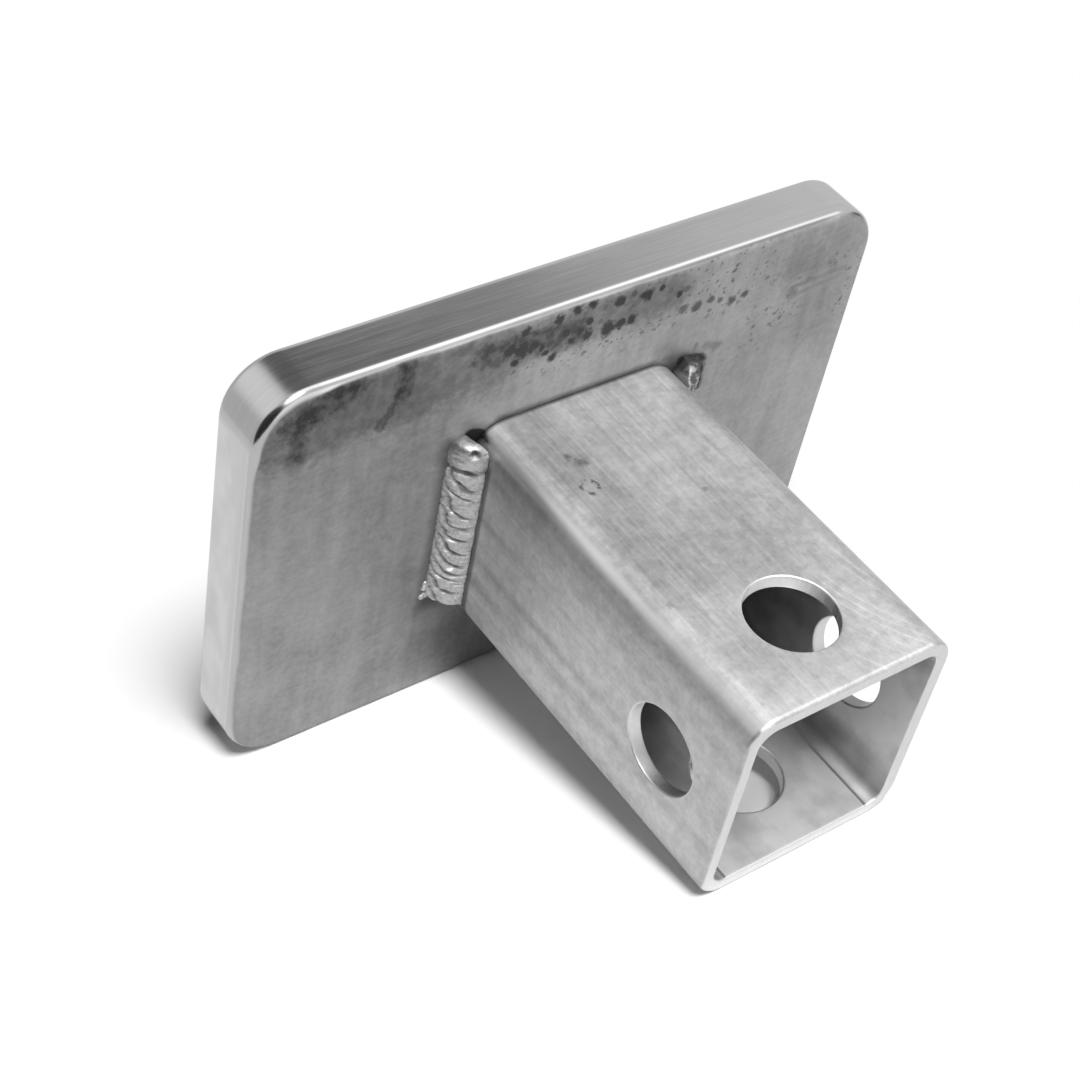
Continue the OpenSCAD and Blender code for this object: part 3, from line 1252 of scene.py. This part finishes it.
def crater_of(wires, entry, travel, across):
    """The dimple in the last pool, and the neck between the pool and the ripples."""
    from_middle = travel - entry["Crater"] * 0.26
    dimple_along = from_middle / (1.1 * MM)
    dimple_across = (across - 0.34) * 3.4
    dimple_away = wires.vector("LENGTH", wires.join(dimple_along, dimple_across, 0.0))
    neck_away = abs(travel - entry["Crater"] * 1.02)
    return wires.ramp(dimple_away, 0.2, 1.2, 0.30, 0.0), wires.ramp(neck_away, 0.0, 1.3 * MM, 0.13, 0.0)


def ends_of(wires, entry, travel):
    """The share of the radius left towards both ends, and how near the top end is, squared."""
    left_to_go = entry["Length"] - travel
    top_nose = entry["Crater"] * 0.60
    top_share = 1 - wires.math("DIVIDE", travel, top_nose, clamp=True)
    foot_share = 1 - wires.math("DIVIDE", left_to_go, entry["Nose"], clamp=True)
    end_share = wires.most(top_share, foot_share)
    nose = wires.math("SQRT", 1 - end_share * end_share)
    return nose, top_share * top_share


def build_bead_tree():
    wires, entry, leave = new_geometry_tree("bead_tree", bead_inputs)
    grid = wires.node(
        "GeometryNodeMeshGrid",
        {"Size X": 1.0, "Size Y": 1.0, "Vertices X": bead_columns, "Vertices Y": bead_rows},
    )
    along, around, _ = wires.split(wires.node("GeometryNodeInputPosition").outputs[0])
    travel = (along + 0.5) * entry["Length"]
    around = around + 0.5

    # Most of the way round is the crown. The rest goes to the corner and back, which closes the mesh.
    on_way_back = wires.larger(around, crown_share)
    return_share = wires.math("DIVIDE", around - crown_share, 1 - crown_share, clamp=True)
    to_corner = abs(return_share * 2.0 - 1.0)
    before_corner = wires.math("LESS_THAN", return_share, 0.5)
    crown = wires.math("DIVIDE", around, crown_share, clamp=True) * before_corner
    across = crown * 2.0 - 1.0
    turn = crown * quarter

    in_crater = wires.ramp(travel, entry["Crater"], entry["Crater"] * 0.82)
    change, crease = ripples_of(wires, entry, travel, across, in_crater)
    dimple, neck = crater_of(wires, entry, travel, across)
    nose, near_top = ends_of(wires, entry, travel)

    chord = 1.0 / (wires.math("COSINE", turn) + wires.math("SINE", turn))
    section = wires.blend(wires.blend(in_crater, 0.62, 0.98), chord, 1.0)
    shape = section - (dimple + neck) + change
    shape = wires.math("SMOOTH_MIN", shape, 1.0, 0.16)
    reach = entry["Leg"] * shape * nose * to_corner

    widened = 1.0 + near_top * wires.ramp(across, -0.3, 0.3, 2.0, 0.5)
    angle = wires.blend(on_way_back, turn, before_corner * quarter)
    angle = (angle - quarter / 2) * widened + quarter / 2
    stand_off = near_top * entry["Leg"] * 0.34
    out = reach * wires.math("COSINE", angle) + stand_off + tube_half
    x = out * entry["Side"]
    y = reach * wires.math("SINE", angle) + stand_off + plate_back
    z = entry["Lift"] + bead_high.z - travel

    # The dimple and the neck count as creases too; the weld's material darkens all of them with soot and
    # painted shade.
    crease = wires.most(crease, dimple * 3.2, neck * 4.0)
    stored = wires.node(
        "GeometryNodeStoreNamedAttribute",
        {"Geometry": grid.outputs["Mesh"], "Name": "crease", "Value": crease},
        data_type="FLOAT",
        domain="POINT",
    )
    placed = wires.node(
        "GeometryNodeSetPosition", {"Geometry": stored.outputs["Geometry"], "Position": wires.join(x, y, z)}
    )
    merged = wires.node(
        "GeometryNodeMergeByDistance", {"Geometry": placed.outputs["Geometry"], "Distance": 0.002 * MM}
    )
    return finish_tree(wires, entry, leave, merged.outputs["Geometry"])


# %% Turn a geometry tree into a plain mesh
def mesh_from_tree(tree, name, material, **values):
    """Runs a geometry tree on an empty mesh with the given inputs, and copies the result."""
    carrier = bpy.data.objects.new(name + "_carrier", bpy.data.meshes.new(name + "_carrier"))
    bpy.context.scene.collection.objects.link(carrier)
    modifier = carrier.modifiers.new("tree", "NODES")
    modifier.node_group = tree
    values["Material"] = material
    for item in tree.interface.items_tree:
        if item.in_out == "INPUT" and item.name in values:
            modifier[item.identifier] = values[item.name]
    bpy.context.view_layer.update()
    graph = bpy.context.evaluated_depsgraph_get()
    mesh = bpy.data.meshes.new_from_object(carrier.evaluated_get(graph))
    carrier.modifiers.remove(modifier)
    bpy.data.objects.remove(carrier)
    return mesh


bead_tree = build_bead_tree()
for bead_name, side, seed in (("weld_bead_left", 1.0, 2.0), ("weld_bead_right", -1.0, 31.0)):
    bead_mesh = mesh_from_tree(bead_tree, bead_name, weld_metal, Side=side, Seed=seed)
    finish_piece(bead_mesh, bead_name + "_finished", weld_metal, [bead_name])


# %% [markdown]
# ## Spatter
# Small drops of metal that jumped out of the pool froze on the plate, most of
# them in a heap at the left bead's foot. Scattered points with a flattened ball
# on each are what Geometry Nodes do well. Each drop's centre lies on the plate,
# so half of it is sunk in and none of them hovers.

# %% Geometry tree of the spatter
spatter_inputs = {
    "Count": 7.0, "Left": 0.0, "Right": 1.0, "Low": 0.0, "High": 1.0, "Size": 0.6 * MM, "Seed": 0.0
}
least_drop = 0.45
most_drop = 1.25
drop_flatness = 0.7


def build_spatter_tree():
    wires, entry, leave = new_geometry_tree("spatter_tree", spatter_inputs)
    low = wires.join(entry["Left"], plate_back, entry["Low"])
    high = wires.join(entry["Right"], plate_back, entry["High"])
    spread = wires.node("FunctionNodeRandomValue", data_type="FLOAT_VECTOR")
    wires.put(spread.inputs["Min"], low)
    wires.put(spread.inputs["Max"], high)
    wires.put(spread.inputs["Seed"], entry["Seed"])
    points = wires.node("GeometryNodePoints", {"Count": entry["Count"], "Position": spread.outputs["Value"]})
    ball = wires.node("GeometryNodeMeshIcoSphere", {"Radius": entry["Size"], "Subdivisions": 3})
    size = wires.node("FunctionNodeRandomValue", data_type="FLOAT")
    wires.put(size.inputs[2], least_drop)
    wires.put(size.inputs[3], most_drop)
    wires.put(size.inputs["Seed"], entry["Seed"] + 1.0)
    share = Number(wires, size.outputs[1])
    flattened = wires.join(share, share * drop_flatness, share)
    placed = wires.node(
        "GeometryNodeInstanceOnPoints",
        {"Points": points.outputs[0], "Instance": ball.outputs["Mesh"], "Scale": flattened},
    )
    return finish_tree(wires, entry, leave, placed.outputs["Instances"])


spatter_tree = build_spatter_tree()
bead_outside = tube_half + bead_leg
spatter_left = mesh_from_tree(
    spatter_tree, "spatter_left", weld_metal,
    Count=22.0, Left=bead_outside - 2.2 * MM, Right=bead_outside + 0.6 * MM,
    Low=-20.6 * MM, High=-15 * MM, Size=0.9 * MM, Seed=3.0,
)
finish_piece(spatter_left, "spatter_left", weld_metal)
spatter_right = mesh_from_tree(
    spatter_tree, "spatter_right", weld_metal,
    Count=5.0, Left=-bead_outside - 1.6 * MM, Right=-bead_outside + 0.4 * MM,
    Low=16 * MM, High=24 * MM, Size=0.6 * MM, Seed=5.0,
)
finish_piece(spatter_right, "spatter_right", weld_metal)


# %% [markdown]
# ## The floor
# The part lies on white card on two edges: the plate's lower back rim and the
# lower edge of the tube's mouth. So the card is the plane that just touches both
# rounds from below, and a little trigonometry gives its tilt. Seen by the
# camera the card is as bright as the background, which hides where it ends,
# while its shadows stay because they darken that colour.

# %% Floor plane
rest_a = Vector((0.0, plate_back - plate_rim_r, -plate_half_h + plate_rim_r))
rest_b = Vector((0.0, tube_mouth - mouth_lip_r, -tube_half + mouth_lip_r))
between = rest_b - rest_a
floor_tilt = math.atan2(between.z, between.y) - math.asin((mouth_lip_r - plate_rim_r) / between.length)
floor_up = Vector((0.0, -math.sin(floor_tilt), math.cos(floor_tilt)))
floor_touch = rest_a - floor_up * plate_rim_r
floor_gap = 0.05 * MM
card_left = 0.30
card_right = -0.55
card_behind = -0.35
card_before = 0.50
print("floor tilt in degrees:", round(math.degrees(floor_tilt), 2))

floor_mesh = bpy.data.meshes.new("floor")
floor_along = Vector((0.0, math.cos(floor_tilt), math.sin(floor_tilt)))
floor_across = Vector((1.0, 0.0, 0.0))
floor_middle = floor_touch - floor_up * floor_gap
card_corners = (
    (card_right, card_behind),
    (card_left, card_behind),
    (card_left, card_before),
    (card_right, card_before),
)
floor_corners = [floor_middle + floor_across * a + floor_along * b for a, b in card_corners]
floor_mesh.from_pydata([corner[:] for corner in floor_corners], [], [(0, 1, 2, 3)])
floor = bpy.data.objects.new("floor", floor_mesh)
bpy.context.scene.collection.objects.link(floor)

card_tone = 0.95
card_tone_seen = 1.45


def build_card():
    """White card, brighter to the camera, and clear where it is seen from below."""
    material = bpy.data.materials.new("white_card")
    material.use_nodes = True
    material.node_tree.nodes.clear()
    wires = Wires(material.node_tree)
    rays = wires.numbers(wires.node("ShaderNodeLightPath"))
    tone = wires.blend(rays["Is Camera Ray"], card_tone, card_tone_seen)
    colour = wires.node("ShaderNodeCombineColor", {"Red": tone, "Green": tone, "Blue": tone})
    card = wires.node("ShaderNodeBsdfDiffuse", {"Color": colour.outputs["Color"]})
    clear = wires.node("ShaderNodeBsdfTransparent")
    from_below = wires.node("ShaderNodeNewGeometry").outputs["Backfacing"]
    either = wires.node("ShaderNodeMixShader", {"Fac": from_below})
    wires.put(either.inputs[1], card.outputs["BSDF"])
    wires.put(either.inputs[2], clear.outputs["BSDF"])
    wires.node("ShaderNodeOutputMaterial", {"Surface": either.outputs["Shader"]})
    return material


floor_mesh.materials.append(build_card())


# %% [markdown]
# ## Light
# One wide soft lamp stands almost overhead, which gives the floor its soft
# shadow. The rest of the light is the studio all round, and on bare metal it
# matters more than the lamp, because metal shows what it faces. So the world
# isn't one flat grey. A strip light and a lamp hang over the part, a window
# lights the plate's edge from behind on the left, and a white wall faces the
# tube's mouth. The ceiling behind, the room on the left and a door on the right
# are dark. The background in the picture itself is plain white.

# %% Lamp
key_towards = Vector((0.10, 0.24, 0.97)).normalized()
key_energy = 2.45
key_angle = 22

key_data = bpy.data.lights.new("key", "SUN")
key_data.energy = key_energy
key_data.angle = math.radians(key_angle)
key = bpy.data.objects.new("key", key_data)
key.rotation_euler = key_towards.to_track_quat("Z", "Y").to_euler()
bpy.context.scene.collection.objects.link(key)
print("the lamp stands", round(math.degrees(key_towards.angle((0.0, 0.0, 1.0))), 1), "degrees from overhead")


# %% Patches of the studio
def patch(towards, outer, inner, value, y_from=None, y_to=None):
    """A patch of the world: where it is, the angles where it ends and is full, and its light.

    y_from and y_to are pairs that fade it out towards the back and the front.
    """
    return {
        "towards": Vector(towards).normalized(), "outer": outer, "inner": inner, "value": value,
        "limits": [limit for limit in (y_from, y_to) if limit],
    }


studio_fill = 0.02
studio_base = 0.53
dark_ceiling_behind = patch((-0.22, -0.65, 0.73), 27, 12, 0.12)
strip_light_overhead = patch((-0.24, -0.05, 0.97), 36, 16, 1.30, y_from=(-0.34, -0.27), y_to=(0.30, 0.10))
lamp_over_the_tube = patch((0.13, 0.38, 0.92), 21, 15, 1.25)
window_behind_on_the_left = patch((0.56, -0.62, 0.55), 30, 7, 0.82)
white_wall_before_the_mouth = patch((-0.15, 0.95, 0.15), 45, 30, 0.95)
dark_door_on_the_right = patch((-0.93, 0.25, 0.0), 26, 14, 0.08)
dark_room_on_the_left = patch((0.90, 0.30, 0.28), 46, 38, 0.03)

# A later patch covers an earlier one where they meet.
studio_patches = [
    dark_ceiling_behind,
    strip_light_overhead,
    lamp_over_the_tube,
    window_behind_on_the_left,
    white_wall_before_the_mouth,
    dark_door_on_the_right,
    dark_room_on_the_left,
]


# %% World
def studio_light(wires, towards):
    """The light that comes from each direction of the studio."""
    towards_y = wires.split(towards)[1]
    light = studio_base
    for spot in studio_patches:
        facing = wires.vector("DOT_PRODUCT", towards, spot["towards"][:])
        edges = [math.cos(math.radians(spot[key])) for key in ("outer", "inner")]
        share = wires.ramp(facing, *edges)
        for limit in spot["limits"]:
            share = share * wires.ramp(towards_y, *limit)
        light = wires.blend(share, light, spot["value"])
    return light


def build_world():
    """The studio as metal sees it, an even dim fill for the rest, and plain white for the camera."""
    world = bpy.data.worlds.new("studio")
    world.use_nodes = True
    world.node_tree.nodes.clear()
    wires = Wires(world.node_tree)
    towards = wires.node("ShaderNodeTexCoord").outputs["Generated"]
    rays = wires.numbers(wires.node("ShaderNodeLightPath"))
    mirror_like = wires.most(rays["Is Glossy Ray"], rays["Is Transmission Ray"])
    first_hand = wires.math("LESS_THAN", rays["Diffuse Depth"], 0.5)
    light = wires.blend(mirror_like * first_hand, studio_fill, studio_light(wires, towards))
    light = wires.blend(rays["Is Camera Ray"], light, 1.0)
    background = wires.node("ShaderNodeBackground", {"Strength": light})
    wires.put(background.inputs["Color"], (1.0, 1.0, 1.0, 1.0))
    wires.node("ShaderNodeOutputWorld", {"Surface": background.outputs["Background"]})
    return world


bpy.context.scene.world = build_world()
print(len(studio_patches), "patches in the studio")

# %% [markdown]
# ## The end
# The view layer is brought up to date once more. The dressed part must stay within the
# CAD model's box.

# %% Update the view layer
bpy.context.view_layer.update()
